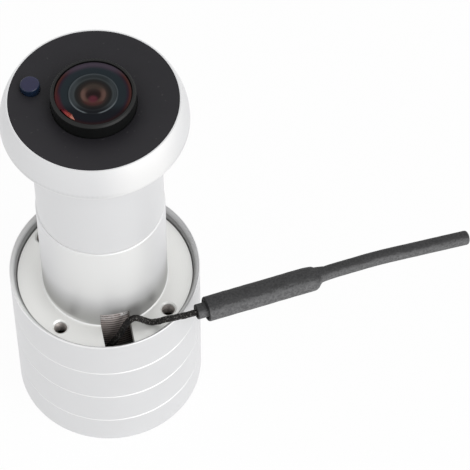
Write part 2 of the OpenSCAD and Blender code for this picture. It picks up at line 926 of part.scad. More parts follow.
module sensor_connector() {
    color("ivory") translate([
        -connector_size[0] / 2, -connector_size[1] / 2,
        sensor_board_z - connector_size[2]
    ]) cube(connector_size);
}

// Antenna

antenna_axis = heading(antenna_heading, antenna_droop);
lead_points = [for (p = lead_shape) p + [0, 0, plate_top]];
ferrule_start = lead_points[len(lead_points) - 1];
lead_route = concat(lead_points,
    [ferrule_start + ferrule_depth * antenna_axis]);
sleeve_start = ferrule_start + ferrule_out * antenna_axis;
whip_start = sleeve_start + (sleeve_len - whip_root) * antenna_axis;

function whip_dir(i) =
    let (s = min(1, i / (whip_bend_share * whip_steps)))
    heading(
        antenna_heading + whip_lift - whip_turn * s,
        antenna_droop + whip_sag * s
    );
function whip_path(i = 0, p = whip_start) =
    i > whip_steps ? [] :
    concat([p], whip_path(i + 1,
        p + (whip_len + whip_root) / whip_steps * whip_dir(i)));

module antenna_lead() {
    color("black") swept_tube(lead_route, lead_d / 2, lead_sides, [0, 0, 1]);
}

module antenna_ferrule() {
    color("black") translate(ferrule_start)
        along(antenna_heading, antenna_droop) difference() {
            cylinder(d = ferrule_d, h = ferrule_len);
            translate([0, 0, -eps])
                cylinder(d = ferrule_d - 2 * ferrule_wall,
                    h = ferrule_depth + eps);
        }
}

module antenna_sleeve() {
    end_round = 0.5;
    r = sleeve_d / 2;
    mouth_r = ferrule_d / 2 + run_clear;
    tail_r = whip_d / 2 + whip_fit;
    color("black") translate(sleeve_start)
        along(antenna_heading, antenna_droop) rotate_extrude() polygon([
            [mouth_r, 0], [r - end_round, 0], [r, end_round],
            [r, sleeve_len - sleeve_taper],
            [r - 0.25 * (r - tail_r), sleeve_len - 0.65 * sleeve_taper],
            [tail_r + 0.15, sleeve_len - 0.2 * sleeve_taper],
            [tail_r + 0.1, sleeve_len], [tail_r, sleeve_len],
            [tail_r, sleeve_len - whip_root - face_gap],
            [mouth_r, sleeve_len - whip_root - face_gap]
        ]);
}

module antenna_whip() {
    color("black")
        swept_tube(whip_path(), whip_d / 2, whip_sides, [0, 0, 1]);
}

body_shell();
front_plate();
lock_collar();
thread_tube();
pillars();
rear_cover();
rear_screws();
main_board();
processor();
wifi_module();
usb_socket();
card_socket();
reset_switch();
reset_button();
status_led();
light_pipe();
antenna_socket();
antenna_plug();
board_connector();
ribbon_cable();
head_shell();
core_circlip();
front_seal();
front_disc();
light_sensor();
sensor_leads();
lens_carrier();
lens_barrel();
front_lens();
spacer_ring();
second_lens();
rear_lens();
ir_filter();
image_sensor();
sensor_board();
sensor_screws();
sensor_connector();
antenna_lead();
antenna_ferrule();
antenna_sleeve();
antenna_whip();
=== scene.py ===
# %% [markdown]
# This lesson dresses a peephole door camera. The solids come from CAD as a
# fixed frame: a grooved aluminium body, a threaded neck, a flared head with a
# fisheye lens, and a small antenna on a thin lead. Blender adds finishes and
# the few forms that CAD leaves plain. Lengths are in metres.

# %% Load the frame
import math

import bpy
from mathutils import Matrix, Vector


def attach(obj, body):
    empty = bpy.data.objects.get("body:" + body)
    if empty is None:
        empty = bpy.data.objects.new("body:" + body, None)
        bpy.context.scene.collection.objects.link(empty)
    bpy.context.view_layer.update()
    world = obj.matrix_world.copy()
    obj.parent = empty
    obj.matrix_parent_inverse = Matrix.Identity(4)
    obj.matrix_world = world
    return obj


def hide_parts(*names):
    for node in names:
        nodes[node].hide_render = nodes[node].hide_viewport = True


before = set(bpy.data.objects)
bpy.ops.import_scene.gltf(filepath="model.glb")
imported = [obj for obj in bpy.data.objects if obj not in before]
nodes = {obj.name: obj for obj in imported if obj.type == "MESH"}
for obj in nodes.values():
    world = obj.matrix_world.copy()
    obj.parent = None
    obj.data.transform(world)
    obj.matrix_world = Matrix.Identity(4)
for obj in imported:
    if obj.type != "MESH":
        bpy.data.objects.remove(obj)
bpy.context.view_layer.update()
MM = 0.001

# %% [markdown]
# The camera comes first, so that every later choice can be judged in the same
# picture. It stands high in front of the notch and uses a long lens, because
# the round edges of the object look nearly like parallel ellipses. Its place
# was worked out from those ellipses, and a small roll levels the picture.

# %% Camera
camera_data = bpy.data.cameras.new("picture_camera")
camera_data.lens = 207.65
camera_data.sensor_width = 36
camera = bpy.data.objects.new("picture_camera", camera_data)
bpy.context.scene.collection.objects.link(camera)
turn = Matrix.Rotation(math.radians(-11.8), 4, "Z")
tilt = Matrix.Rotation(math.radians(90 - 56.84), 4, "X")
roll = Matrix.Rotation(math.radians(0.474), 4, "Z")
place = Matrix.Translation((-0.03218, -0.27417, 0.46663))
camera.matrix_world = place @ turn @ tilt @ roll
bpy.context.scene.camera = camera
print("camera at", tuple(round(v, 4) for v in camera.location))

# %% [markdown]
# A few forms and finishes follow a direction. They are named for someone who
# stands in front of the notch: four run over the floor, upright follows the
# optical axis, and rising goes steeply up and back.

# %% Directions
rightward = (0.979, -0.204, 0)
leftward = (-0.979, 0.204, 0)
backward = (0.204, 0.979, 0)
frontward = (-0.204, -0.979, 0)
upright = (0, 0, 1)
rising = Vector((0, 0.83, 0.55))
print("directions ready")

# %% [markdown]
# Two habits keep the operators safe. Everything is deselected before a new
# primitive is added, and a finished piece has its place applied, so that its
# object sits at the origin like the CAD nodes do.


# %% Small habits
def clear_selection():
    if bpy.context.mode != "OBJECT":
        bpy.ops.object.mode_set(mode="OBJECT")
    bpy.ops.object.select_all(action="DESELECT")


def only(piece):
    clear_selection()
    piece.select_set(True)
    bpy.context.view_layer.objects.active = piece


def settle(piece, angle=35):
    """Applies a piece's place and shades it smooth, with sharp edges kept."""
    only(piece)
    bpy.ops.object.transform_apply(location=True, rotation=True, scale=True)
    bpy.ops.object.shade_smooth_by_angle(angle=math.radians(angle))
    print(piece.name, "has", len(piece.data.polygons), "faces")


def tidy_mesh(piece):
    """Merges doubles and turns all faces outwards."""
    only(piece)
    bpy.ops.object.mode_set(mode="EDIT")
    bpy.ops.mesh.select_all(action="SELECT")
    bpy.ops.mesh.remove_doubles(threshold=1e-7)
    bpy.ops.mesh.normals_make_consistent(inside=False)
    bpy.ops.object.mode_set(mode="OBJECT")


def finish_with(piece, kind, **settings):
    """Adds one modifier, sets it and applies it."""
    only(piece)
    modifier = piece.modifiers.new(kind.lower(), kind)
    for name, value in settings.items():
        setattr(modifier, name, value)
    bpy.ops.object.modifier_apply(modifier=modifier.name)


def ripple(piece, size, strength):
    """Presses a cloudy unevenness of the given size into a surface."""
    clouds = bpy.data.textures.new(piece.name + "_ripple", "CLOUDS")
    clouds.noise_scale = size
    clouds.noise_depth = 2
    finish_with(
        piece, "DISPLACE", texture=clouds, strength=strength, mid_level=0.5,
        texture_coords="LOCAL",
    )


def around_axis(reach, angle_deg):
    """A place at a distance in millimetres from the axis, at an angle from +X."""
    angle = math.radians(angle_deg)
    return (reach * MM * math.cos(angle), reach * MM * math.sin(angle), 0)


print("helpers ready")

# %% [markdown]
# Most of the new pieces are round, as if turned on a lathe. The lathe here is
# a single vertex, extruded along an outline in the XZ plane and then spun
# around Z. The outline is given in millimetres as radius and height.


# %% A lathe from extrude and spin
def turned(name, outline, steps=96):
    clear_selection()
    bpy.ops.mesh.primitive_plane_add(size=MM)
    piece = bpy.context.object
    piece.name = name
    bpy.ops.object.mode_set(mode="EDIT")
    bpy.ops.mesh.select_all(action="SELECT")
    bpy.ops.mesh.merge(type="CENTER")
    points = [Vector((r * MM, 0, z * MM)) for r, z in outline]
    bpy.ops.transform.translate(value=points[0])
    for here, there in zip(points, points[1:]):
        bpy.ops.mesh.extrude_region_move(TRANSFORM_OT_translate={"value": there - here})
    bpy.ops.mesh.select_all(action="SELECT")
    bpy.ops.mesh.spin(steps=steps, angle=2 * math.pi, center=(0, 0, 0), axis=(0, 0, 1))
    bpy.ops.object.mode_set(mode="OBJECT")
    tidy_mesh(piece)
    return piece


def arc(centre, radius, start, end, count):
    """Points of an arc in an outline, with angles in degrees from the radius axis."""
    points = []
    for i in range(count + 1):
        angle = math.radians(start + (end - start) * i / count)
        points.append((centre[0] + radius * math.cos(angle), centre[1] + radius * math.sin(angle)))
    return points


print("lathe ready")

# %% [markdown]
# The antenna lead is a micro coaxial cable in a woven jacket. It leaves its
# plug on the main board, climbs out through the notch in the plate, dips onto
# the plate and rises over the rim into the antenna. The route repeats the CAD
# points, and one smooth curve runs through them.

# %% Route of the lead
plate_top = 32.55
lead_shape = [
    (-3.3, -2.1, -13.4), (-2.6, -2.1, -13.4), (-1.6, -2.4, -13.4), (-0.5, -3.3, -13.4),
    (0.1, -5, -13.4), (0, -7, -13.2), (-0.6, -9.1, -12.7), (-1.2, -11, -11.4),
    (-1.6, -12, -9.4), (-1.6, -12.4, -7), (-1, -12.8, -4.8), (-0.1, -12.9, -3.1),
    (1.1, -12.7, -0.8), (2.4, -12.5, 1.5), (3.6, -12.5, 2.3), (4.5, -12.7, 2),
    (5.4, -12.9, 1.4), (6.6, -13.1, 0.8), (7.4, -13.4, 1.2), (8.1, -13.8, 1.9),
    (8.8, -14.1, 2.6), (9.6, -14.3, 3), (10.7, -14.4, 3.2), (11.9, -14.4, 3.3),
    (13.3, -14.4, 3.4), (14.9, -14.2, 3.5),
]
lead_points = [Vector((x, y, z + plate_top)) * MM for x, y, z in lead_shape]


def heading(turn_deg, droop_deg):
    """Unit vector that points turn_deg round from +X and droop_deg down."""
    t, d = math.radians(turn_deg), math.radians(droop_deg)
    return Vector((math.cos(d) * math.cos(t), math.cos(d) * math.sin(t), -math.sin(d)))


antenna_turn, antenna_droop, lead_in_ferrule = 10.3, 4.5, 1.2
antenna_axis = heading(antenna_turn, antenna_droop)
ferrule_start = lead_points[-1]
lead_points.append(ferrule_start + lead_in_ferrule * MM * antenna_axis)
print("lead points:", len(lead_points))


# %% A tube along a smooth curve
def smooth_curve(name, points):
    """One open Bezier spline through the points."""
    curve = bpy.data.curves.new(name, "CURVE")
    curve.dimensions = "3D"
    curve.resolution_u = 8
    spline = curve.splines.new("BEZIER")
    spline.bezier_points.add(len(points) - 1)
    for knot, point in zip(spline.bezier_points, points):
        knot.co = point
        knot.handle_left_type = "AUTO"
        knot.handle_right_type = "AUTO"
    made = bpy.data.objects.new(name, curve)
    bpy.context.scene.collection.objects.link(made)
    return made


def line_of(curve_object):
    """The points of a bare curve, from its start to its end."""
    depsgraph = bpy.context.evaluated_depsgraph_get()
    mesh = curve_object.evaluated_get(depsgraph).to_mesh()
    points = [v.co.copy() for v in mesh.vertices]
    curve_object.evaluated_get(depsgraph).to_mesh_clear()
    return points


def tube_along(curve_object, radius, sides):
    """Gives a curve a round section and makes it a mesh."""
    curve_object.data.bevel_depth = radius
    curve_object.data.bevel_resolution = sides // 2 - 2
    curve_object.data.use_fill_caps = True
    only(curve_object)
    bpy.ops.object.convert(target="MESH")
    piece = bpy.context.object
    tidy_mesh(piece)
    return piece


lead_r = 0.6
lead = smooth_curve("lead_jacket", lead_points)
lead_line = line_of(lead)
lead = tube_along(lead, lead_r * MM, sides=16)
ripple(lead, size=0.5 * MM, strength=0.16 * MM)
settle(lead)

# %% [markdown]
# The lead enters a short inner tube, the ferrule. It is turned around Z and then
# laid along the antenna's direction.


# %% Ferrule
def lay_along_antenna(piece, start):
    """Turns a piece made along +Z into the antenna's heading and moves it to its start."""
    tilted = Matrix.Rotation(math.radians(90 + antenna_droop), 4, "Y")
    around = Matrix.Rotation(math.radians(antenna_turn), 4, "Z")
    piece.matrix_world = Matrix.Translation(start) @ around @ tilted


ferrule = turned("ferrule_tube", [
    (0.98, 0.95), (0.98, 0.12), (1.05, 0), (1.36, 0), (1.45, 0.1), (1.45, 3.7),
    (1.35, 3.8), (0, 3.8), (0, 0.95), (0.98, 0.95),
], steps=48)
lay_along_antenna(ferrule, ferrule_start)
settle(ferrule)

# %% [markdown]
# A heat-shrunk sleeve covers the rest of the joint. Its wall is straight, and
# its far end narrows to a thin lip around the whip.

# %% Outline of the sleeve
ferrule_out, sleeve_len, sleeve_r = 1.8, 23.8, 2.4
mouth_round, wall_step, wall_rings = 0.4, 1.1, 18
sleeve_start = ferrule_start + ferrule_out * MM * antenna_axis
sleeve_outline = [(1.5, 2.2), (1.5, 1.1), (1.66, 0.7), (1.84, 0.25), (1.92, 0.06)]
sleeve_outline += arc((sleeve_r - mouth_round, 0.42), mouth_round, start=-80, end=0, count=6)
sleeve_outline += [(sleeve_r, 0.9 + wall_step * i) for i in range(wall_rings)]
sleeve_outline += [
    (sleeve_r, 20.6), (2.38, 21.2), (2.3, 21.65), (2.17, 22.05), (2.0, 22.4), (1.83, 22.67),
    (1.68, 22.92), (1.6, 23.2), (1.53, 23.6), (1.47, 24), (1.42, 24.3), (1.37, 24.25),
    (1.34, 23.9), (1.32, 23.1),
]
sleeve = turned("shrink_sleeve", sleeve_outline, steps=64)
print("sleeve starts at", sleeve_start)

# %% [markdown]
# Shrunk tube is never a perfect cylinder. The lip is pulled to one side with
# proportional editing, where the tube closed around the whip. The shoulder
# before it is slanted, and a displace modifier adds a fine ripple.

# %% Bend the end of the sleeve
lip_from, shoulder_from, shoulder_to, slant = 22.5, 20, 23, 0.2
only(sleeve)
bpy.ops.object.mode_set(mode="EDIT")
bpy.ops.mesh.select_all(action="DESELECT")
bpy.ops.object.mode_set(mode="OBJECT")
for vertex in sleeve.data.vertices:
    vertex.select = vertex.co.z > lip_from * MM
bpy.ops.object.mode_set(mode="EDIT")
bpy.ops.transform.translate(
    value=(-0.13 * MM, 0.2 * MM, 0), use_proportional_edit=True,
    proportional_edit_falloff="SMOOTH", proportional_size=1.2 * MM,
)
bpy.ops.object.mode_set(mode="OBJECT")
for vertex in sleeve.data.vertices:
    if shoulder_from * MM < vertex.co.z < shoulder_to * MM:
        vertex.co.z -= slant * (rising.y * vertex.co.y - rising.z * vertex.co.x)
ripple(sleeve, size=1.6 * MM, strength=0.12 * MM)
lay_along_antenna(sleeve, sleeve_start)
settle(sleeve, angle=60)

# %% [markdown]
# The whip is a thin shrunk tube that bends a little as it leaves the sleeve.
# It is a curve with a round section. A curve's points carry a radius, so the
# rounded tip is a few more points close together with a falling radius.

# %% Whip
whip_root, whip_len, whip_r, whip_steps = 0.6, 30.4, 1.39, 12
side_kick, side_bend, more_droop, bend_share = 4.5, 7, 2, 0.45
root_lifts, whip_drop = (0.12, 0.08, -0.02), 0.08
here = sleeve_start + (sleeve_len - whip_root) * MM * antenna_axis
whip_points = [here.copy()]
for i in range(whip_steps):
    share = min(1, i / (bend_share * whip_steps))
    way = heading(antenna_turn + side_kick - side_bend * share, antenna_droop + more_droop * share)
    here = here + (whip_len + whip_root) / whip_steps * MM * way
    whip_points.append(here.copy())
for point, lift in zip(whip_points, root_lifts):
    point += lift * MM * rising
for point in whip_points[len(root_lifts):]:
    point -= whip_drop * MM * rising
tip = whip_points.pop()
tip_round = [(0.5, 1), (0.34, 0.97), (0.19, 0.9), (0.07, 0.79), (0, 0.62)]
whip_points += [tip - short * MM * way for short, share in tip_round]
whip_curve = smooth_curve("antenna_rod", whip_points)
knots = whip_curve.data.splines[0].bezier_points
for knot, (short, share) in zip(knots[-len(tip_round):], tip_round):
    knot.radius = share
whip = tube_along(whip_curve, whip_r * MM, sides=24)
ripple(whip, size=1.4 * MM, strength=0.05 * MM)
settle(whip, angle=60)
print("whip tip at", tip)

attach(lead, "body")
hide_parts("antenna_lead")
for piece, node in ((ferrule, "antenna_ferrule"), (sleeve, "antenna_sleeve"), (whip, "antenna_whip")):
    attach(piece, "body")
    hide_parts(node)

# %% [markdown]
# The front glass of the fisheye lens is a dome. Behind it the strong glass
# lifts the picture of the inside close to the rim, so what is seen through it
# is modelled at the depth where it appears: a coated ring, the pale edge of
# the hollow, and a small stepped cup around the next lens. Glass lets light in,
# so the dome is told to hold back neither lamp light nor bounced light.

# %% Front glass and what shows behind it
glass_r, glass_edge, dome_h = 6.75, 89.9, 2.4
dome_r = (glass_r ** 2 + dome_h ** 2) / (2 * dome_h)
dome_side = math.degrees(math.asin(glass_r / dome_r))
dome_centre = (0, glass_edge + dome_h - dome_r)
dome = arc(dome_centre, dome_r, start=90 - dome_side, end=90, count=20)
glass_outline = [(6.74, 89.3), (glass_r, glass_edge)] + dome[1:-1] + [(0, glass_edge + dome_h)]
glass = turned("front_glass", glass_outline, steps=128)
settle(glass, angle=60)
glass.visible_shadow = False
glass.visible_diffuse = False
inside = turned("glass_inner_face", [
    (6.72, 89.84), (6.5, 89.92), (6.1, 89.9), (5.4, 89.82), (4.7, 89.76), (4.42, 89.75), (4.37, 89.82),
    (4.29, 89.87), (4.2, 89.89), (4.11, 89.87), (4.04, 89.8), (4.0, 89.74), (3.92, 89.72), (3.84, 89.75),
    (3.76, 89.72), (3.4, 89.66), (2.9, 89.6), (2.5, 89.58), (2.36, 89.64), (2.2, 89.69), (2.0, 89.69),
    (1.85, 89.66), (1.5, 89.6), (1.2, 89.56), (1.1, 89.5), (0.9, 89.46), (0.5, 89.44), (0, 89.43),
], steps=128)
settle(inside, angle=50)
for piece in (glass, inside):
    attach(piece, "lens_core")
    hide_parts("front_lens")

# %% [markdown]
# The light sensor is a small moulded cylinder. Its edge is rounded here, where
# CAD has a plain chamfer.

# %% Light sensor
disc_under, sensor_top, sensor_r, sensor_round = 86.45, 89.1, 1.75, 0.4
sensor_reach, sensor_angle = 11.4, 155
sensor_outline = [(0, disc_under), (sensor_r - 0.1, disc_under), (sensor_r, disc_under + 0.1)]
edge_centre = (sensor_r - sensor_round, sensor_top - sensor_round)
sensor_outline += arc(edge_centre, sensor_round, start=0, end=90, count=6)
sensor_outline += [(0.5, sensor_top), (0, sensor_top)]
sensor = turned("sensor_dome", sensor_outline, steps=48)
sensor.location = around_axis(sensor_reach, sensor_angle)
settle(sensor, angle=50)
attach(sensor, "lens_core")
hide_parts("light_sensor")

# %% [markdown]
# Each fixing hole is tapped. A thread is a small wedge that is swept along a
# helix, which the screw modifier does in one step. One thread is made, then
# copied into the other holes with a mesh of its own.

# %% Threads in the fixing holes
tap_r, tap_start, tap_pitch, tap_turns = 1.26, 29.2, 0.5, 5
hole_reach, hole_count = 14.5, 4
clear_selection()
bpy.ops.mesh.primitive_plane_add(size=MM)
thread = bpy.context.object
thread.name = "hole_thread_1"
bpy.ops.object.mode_set(mode="EDIT")
bpy.ops.mesh.select_all(action="SELECT")
bpy.ops.mesh.merge(type="CENTER")
bpy.ops.transform.translate(value=(tap_r * MM, 0, tap_start * MM))
for outwards, upwards in ((-0.2, 0.22), (0, 0.06), (0.2, 0.22)):
    move = (outwards * MM, 0, upwards * MM)
    bpy.ops.mesh.extrude_region_move(TRANSFORM_OT_translate={"value": move})
bpy.ops.object.mode_set(mode="OBJECT")
finish_with(
    thread, "SCREW", axis="Z", angle=2 * math.pi, screw_offset=tap_pitch * MM,
    iterations=tap_turns, steps=24, render_steps=24, use_normal_calculate=True,
    use_merge_vertices=True, merge_threshold=1e-7,
)
threads = [thread]
for i in range(1, hole_count):
    copy = thread.copy()
    copy.data = thread.data.copy()
    copy.name = "hole_thread_" + str(i + 1)
    bpy.context.scene.collection.objects.link(copy)
    threads.append(copy)
for i, piece in enumerate(threads):
    piece.location = around_axis(hole_reach, 45 + 90 * i)
    settle(piece, angle=40)
    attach(piece, "body")

# %% [markdown]
# Finishes are built from shader nodes, and the maths is easier to read as
# Python. A Wire is one output of a node with the operators overloaded.


# %% Shader maths
class Wire:
    """One output of a shader node."""

    def __init__(self, tree, socket):
        self.tree = tree
        self.socket = socket

    def maths(self, operation, first, second):
        return self.tree.node("ShaderNodeMath", {"operation": operation}, {0: first, 1: second})

    def __add__(self, other):
        return self.maths("ADD", self, other)

    __radd__ = __add__

    def __sub__(self, other):
        return self.maths("SUBTRACT", self, other)

    def __rsub__(self, other):
        return self.maths("SUBTRACT", other, self)

    def __mul__(self, other):
        return self.maths("MULTIPLY", self, other)

    __rmul__ = __mul__

    def __truediv__(self, other):
        return self.maths("DIVIDE", self, other)


print("wires ready")

# %% [markdown]
# A NodeTree adds any node from its type, its settings and what goes into it. On
# top of that it has the few patterns that all finishes share: noise, masks from
# a distance or a direction, and blends of two colours.


# %% Shader nodes
class NodeTree:
    """A material's or the world's nodes, added in one way."""

    def __init__(self, owner):
        owner.use_nodes = True
        self.tree = owner.node_tree
        self.tree.nodes.clear()

    def node(self, kind, settings=None, sockets=None, output=0):
        made = self.tree.nodes.new(kind)
        for name, value in (settings or {}).items():
            if name == "stops":
                self.set_stops(made.color_ramp, value)
            else:
                setattr(made, name, value)
        for name, value in (sockets or {}).items():
            if isinstance(value, Wire):
                self.tree.links.new(value.socket, made.inputs[name])
            else:
                made.inputs[name].default_value = value
        return Wire(self, made.outputs[output]) if made.outputs else None

    def set_stops(self, ramp, stops):
        while len(ramp.elements) < len(stops):
            ramp.elements.new(1.0)
        for element, (position, colour) in zip(ramp.elements, stops):
            element.position = position
            element.color = (*colour, 1)

    def here(self):
        """The place of a point in the frame, in metres."""
        return self.node("ShaderNodeTexCoord", output="Object")

    def noise(self, size_mm, detail=2, along=None):
        """Cloudy noise from 0 to 1, with patches of about the given size."""
        where = along or self.here()
        return self.node(
            "ShaderNodeTexNoise", {}, {"Vector": where, "Scale": 1 / (size_mm * MM), "Detail": detail},
        )

    def squeeze(self, value, low, high):
        """Goes smoothly from 0 at the first limit to 1 at the second."""
        return self.node(
            "ShaderNodeMapRange", {"interpolation_type": "SMOOTHSTEP"},
            {"Value": value, "From Min": low, "From Max": high},
        )

    def band(self, value, low, low_full, high_full, high):
        """1 between the two middle limits, and smoothly down to 0 at the outer ones."""
        return self.squeeze(value, low, low_full) * self.squeeze(value, high, high_full)

    def mix(self, factor, first, second):
        """Blends two colours."""
        colours = [c if isinstance(c, Wire) else (*c, 1) for c in (first, second)]
        return self.node(
            "ShaderNodeMix", {"data_type": "RGBA"}, {0: factor, 6: colours[0], 7: colours[1]}, output=2,
        )

    def radius(self):
        """Distance from the optical axis in millimetres."""
        flat = self.node(
            "ShaderNodeVectorMath", {"operation": "MULTIPLY"},
            {0: self.here(), 1: (1 / MM, 1 / MM, 0)},
        )
        return self.node("ShaderNodeVectorMath", {"operation": "LENGTH"}, {0: flat}, output="Value")

    def bump(self, height, depth_mm, strength):
        """Small relief that only the light sees."""
        return self.node(
            "ShaderNodeBump", {}, {"Height": height, "Distance": depth_mm * MM, "Strength": strength},
        )

    def along(self, way, output):
        """The share of a place or of a normal that lies in a direction."""
        return self.node(
            "ShaderNodeVectorMath", {"operation": "DOT_PRODUCT"},
            {0: self.node("ShaderNodeTexCoord", output=output), 1: way}, output="Value",
        )

    def reach(self, way, unit=1):
        """How far a point lies in a direction, counted in units of a millimetre."""
        return self.along(tuple(v / (unit * MM) for v in way), "Object")

    def faces(self, way):
        """How much the surface faces a direction, from -1 to 1."""
        return self.along(way, "Normal")

    def surface(self, sockets):
        shader = self.node("ShaderNodeBsdfPrincipled", {}, sockets, output="BSDF")
        self.node("ShaderNodeOutputMaterial", {}, {"Surface": shader})


print("node trees ready")


# %% New finishes
def finish(name):
    """A new material and its empty node tree."""
    material = bpy.data.materials.new(name)
    return material, NodeTree(material)


def dress(material, *names):
    """Gives a finish to CAD nodes by name, or to new pieces."""
    for name in names:
        piece = nodes[name] if name in nodes else bpy.data.objects[name]
        piece.data.materials.clear()
        piece.data.materials.append(material)
    print(material.name, "on", len(names), "pieces")


print("finishes can be made")

# %% [markdown]
# The metal is aluminium, blasted with fine beads and then anodised clear. The
# oxide scatters light, so the surface is half a rough mirror and half a pale
# paint, which the middle value for Metallic gives. Colour and roughness drift a
# little over the surface, fine specks are paler, and a bump gives the grain.
# Everything after that is a mask from a direction, or from a distance to the
# axis or a height above the rear face, both in millimetres. Most of these masks
# paint light and shade into the colour.

# %% Satin aluminium
material, tree = finish("satin_aluminium")
drift = tree.noise(9, 3)
grain = tree.noise(0.09, 2)
speck = tree.noise(0.22, 1)
colour = tree.mix(drift, (0.745, 0.747, 0.756), (0.785, 0.787, 0.795))
colour = tree.mix(tree.squeeze(speck, 0.62, 0.8) * 0.25, colour, (0.87, 0.87, 0.87))
radius, height = tree.radius(), tree.reach(upright)
sideways = tree.faces(rightward)
left_part = tree.squeeze(tree.reach(leftward), 10, 16)
near_part = tree.squeeze(tree.reach((0.45, -0.89, 0)), 10, 16)
print("base of the metal ready")

# %% [markdown]
# The lip inside the rim lies in shade. It is darkest at the narrow gap around
# the plate and lighter on the left.

# %% Shade inside the rim
lip = tree.band(radius, 16.6, 16.7, 17.8, 17.88) * tree.squeeze(height, 32, 32.4)
lip_shade = lip * tree.squeeze(radius, 17.6, 17.0) * (0.55 - 0.33 * left_part)
colour = tree.mix(lip_shade, colour, (0.30, 0.30, 0.30))
gap_shade = lip * tree.squeeze(radius, 17.16, 17.08) * 0.5
colour = tree.mix(gap_shade, colour, (0.14, 0.14, 0.14))
print("rim shaded")

# %% [markdown]
# The collar is painted pale in front and darker towards its foot, as painted
# light and shade. It is darkest over and beside the notch. On the left its foot
# is painted bright again above the plate, as light thrown up from the plate.

# %% Painted light and shade on the collar
collar = tree.squeeze(radius, 12.2, 12.1) * tree.squeeze(height, 56.8, 56.7)
painted_light_front = tree.squeeze(tree.faces((-0.1, -0.99, 0)), 0.45, 0.95)
# painted light: the upper front of the collar is made paler
colour = tree.mix(collar * painted_light_front * tree.squeeze(height, 37, 45), colour, (0.85, 0.852, 0.845))
# painted shade: darker towards the foot
colour = tree.mix(collar * tree.squeeze(height, 43, 34) * 0.95, colour, (0.41, 0.41, 0.40))
beside_notch = tree.squeeze(tree.faces((0.424, -0.905, 0)), 0.93, 0.99)
beside_notch = beside_notch * tree.squeeze(height, 38.5, 35)
colour = tree.mix(collar * beside_notch * 0.7, colour, (0.22, 0.22, 0.215))
over_notch = tree.squeeze(tree.faces((0.163, -0.987, 0)), 0.955, 0.99)
over_notch = over_notch * tree.squeeze(height, 39, 36.4)
colour = tree.mix(collar * over_notch * 0.4, colour, (0.24, 0.235, 0.23))
# painted light at the left of the foot, thrown up from the plate
painted_foot_light = tree.squeeze(height, 34.1, 33.0) * tree.squeeze(sideways, -0.1, -0.6)
colour = tree.mix(collar * painted_foot_light * 0.75, colour, (0.80, 0.80, 0.79))
print("collar toned")

# %% [markdown]
# Next come painted light and shade: the right side of the flange is painted
# pale, the top of the rim in front is painted darker, and the lip on the left is
# painted pale. The edges that were broken when the metal was turned get painted
# highlights: in the groove, around the foot of the collar, under the flange and
# at the joint between collar and neck. The face at the joint, shaded by the
# neck, is painted pale.

# %% Painted light on the flange, edges and joint
# painted light on the right side of the flange
painted_flange_light = tree.squeeze(height, 80.5, 82.5) * tree.band(sideways, 0.0, 0.5, 0.65, 1.0)
colour = tree.mix(painted_flange_light, colour, (0.90, 0.897, 0.893))
rim_top = tree.band(radius, 17.4, 17.55, 17.88, 17.95) * tree.squeeze(height, 34.2, 34.4)
# painted shade on the top of the rim in front
colour = tree.mix(rim_top * near_part * 0.6, colour, (0.42, 0.42, 0.42))
# painted light on the lip at the left, which is also made less metallic
painted_lip_light = tree.band(radius, 17.15, 17.5, 17.9, 17.97) * tree.squeeze(height, 33.7, 33.9)
painted_lip_light = painted_lip_light * left_part
colour = tree.mix(painted_lip_light, colour, (0.95, 0.95, 0.95))
groove = tree.band(radius, 17.5, 17.6, 17.9, 17.97) * tree.squeeze(height, 33.5, 33)
foot = tree.band(radius, 11.8, 11.87, 12.3, 12.4) * tree.squeeze(height, 32.9, 32.75)
joint = tree.band(height, 56.6, 56.7, 57.0, 57.1)
joint_face = joint * tree.squeeze(radius, 11.75, 11.7)
joint_edge = joint * tree.band(radius, 11.68, 11.72, 12.0, 12.2) * tree.squeeze(sideways, 0.2, 0.7)
rim_edge = tree.band(height, 34.22, 34.32, 34.58, 34.66) * tree.squeeze(radius, 17.8, 17.9)
under = tree.band(height, 80.5, 81, 82.1, 82.7) * tree.squeeze(radius, 12.4, 12.9)
# painted highlights along the broken edges
edges = groove + foot + 0.3 * joint_edge + rim_edge * (0.8 - 0.5 * near_part) + 0.2 * under
colour = tree.mix(edges, colour, (0.93, 0.93, 0.93))
# painted light on the face at the joint that the neck shades
colour = tree.mix(joint_face, colour, (0.87, 0.87, 0.87))
tree.surface({
    "Base Color": colour, "Metallic": 0.5 - 0.5 * painted_lip_light - 0.5 * joint_face,
    "Roughness": 0.46 + 0.1 * drift, "Normal": tree.bump(grain, 0.012, 0.5),
})
dress(material, "body_shell", "lock_collar", "head_shell")

# %% [markdown]
# The plate was faced on a lathe, so its grain runs in rings around the axis. A
# noise that reads only the distance from the axis draws those rings. The front
# left is painted paler as painted light, and the narrow gap at the edge is
# painted dark as painted shade.

# %% Turned plate
material, tree = finish("turned_plate")
radius = tree.radius()
rings = tree.node(
    "ShaderNodeTexNoise", {"noise_dimensions": "1D"}, {"W": radius, "Scale": 9.0, "Detail": 3},
)
drift = tree.noise(5, 3)
colour = tree.mix(rings, (0.83, 0.832, 0.812), (0.91, 0.911, 0.892))
# painted light on the front left
front_left = tree.squeeze(tree.reach((-0.6, -0.8, 0)), 4, 14)
colour = tree.mix(front_left * 0.5, colour, (0.96, 0.96, 0.94))
# painted shade in the narrow gap at the edge
painted_gap_shade = tree.squeeze(radius, 16.5, 16.64)
colour = tree.mix(painted_gap_shade, colour, (0.16, 0.155, 0.15))
tree.surface({
    "Base Color": colour, "Metallic": 0.5, "Roughness": 0.42 + 0.12 * drift,
    "Normal": tree.bump(rings, 0.01, 0.4),
})
dress(material, "front_plate")
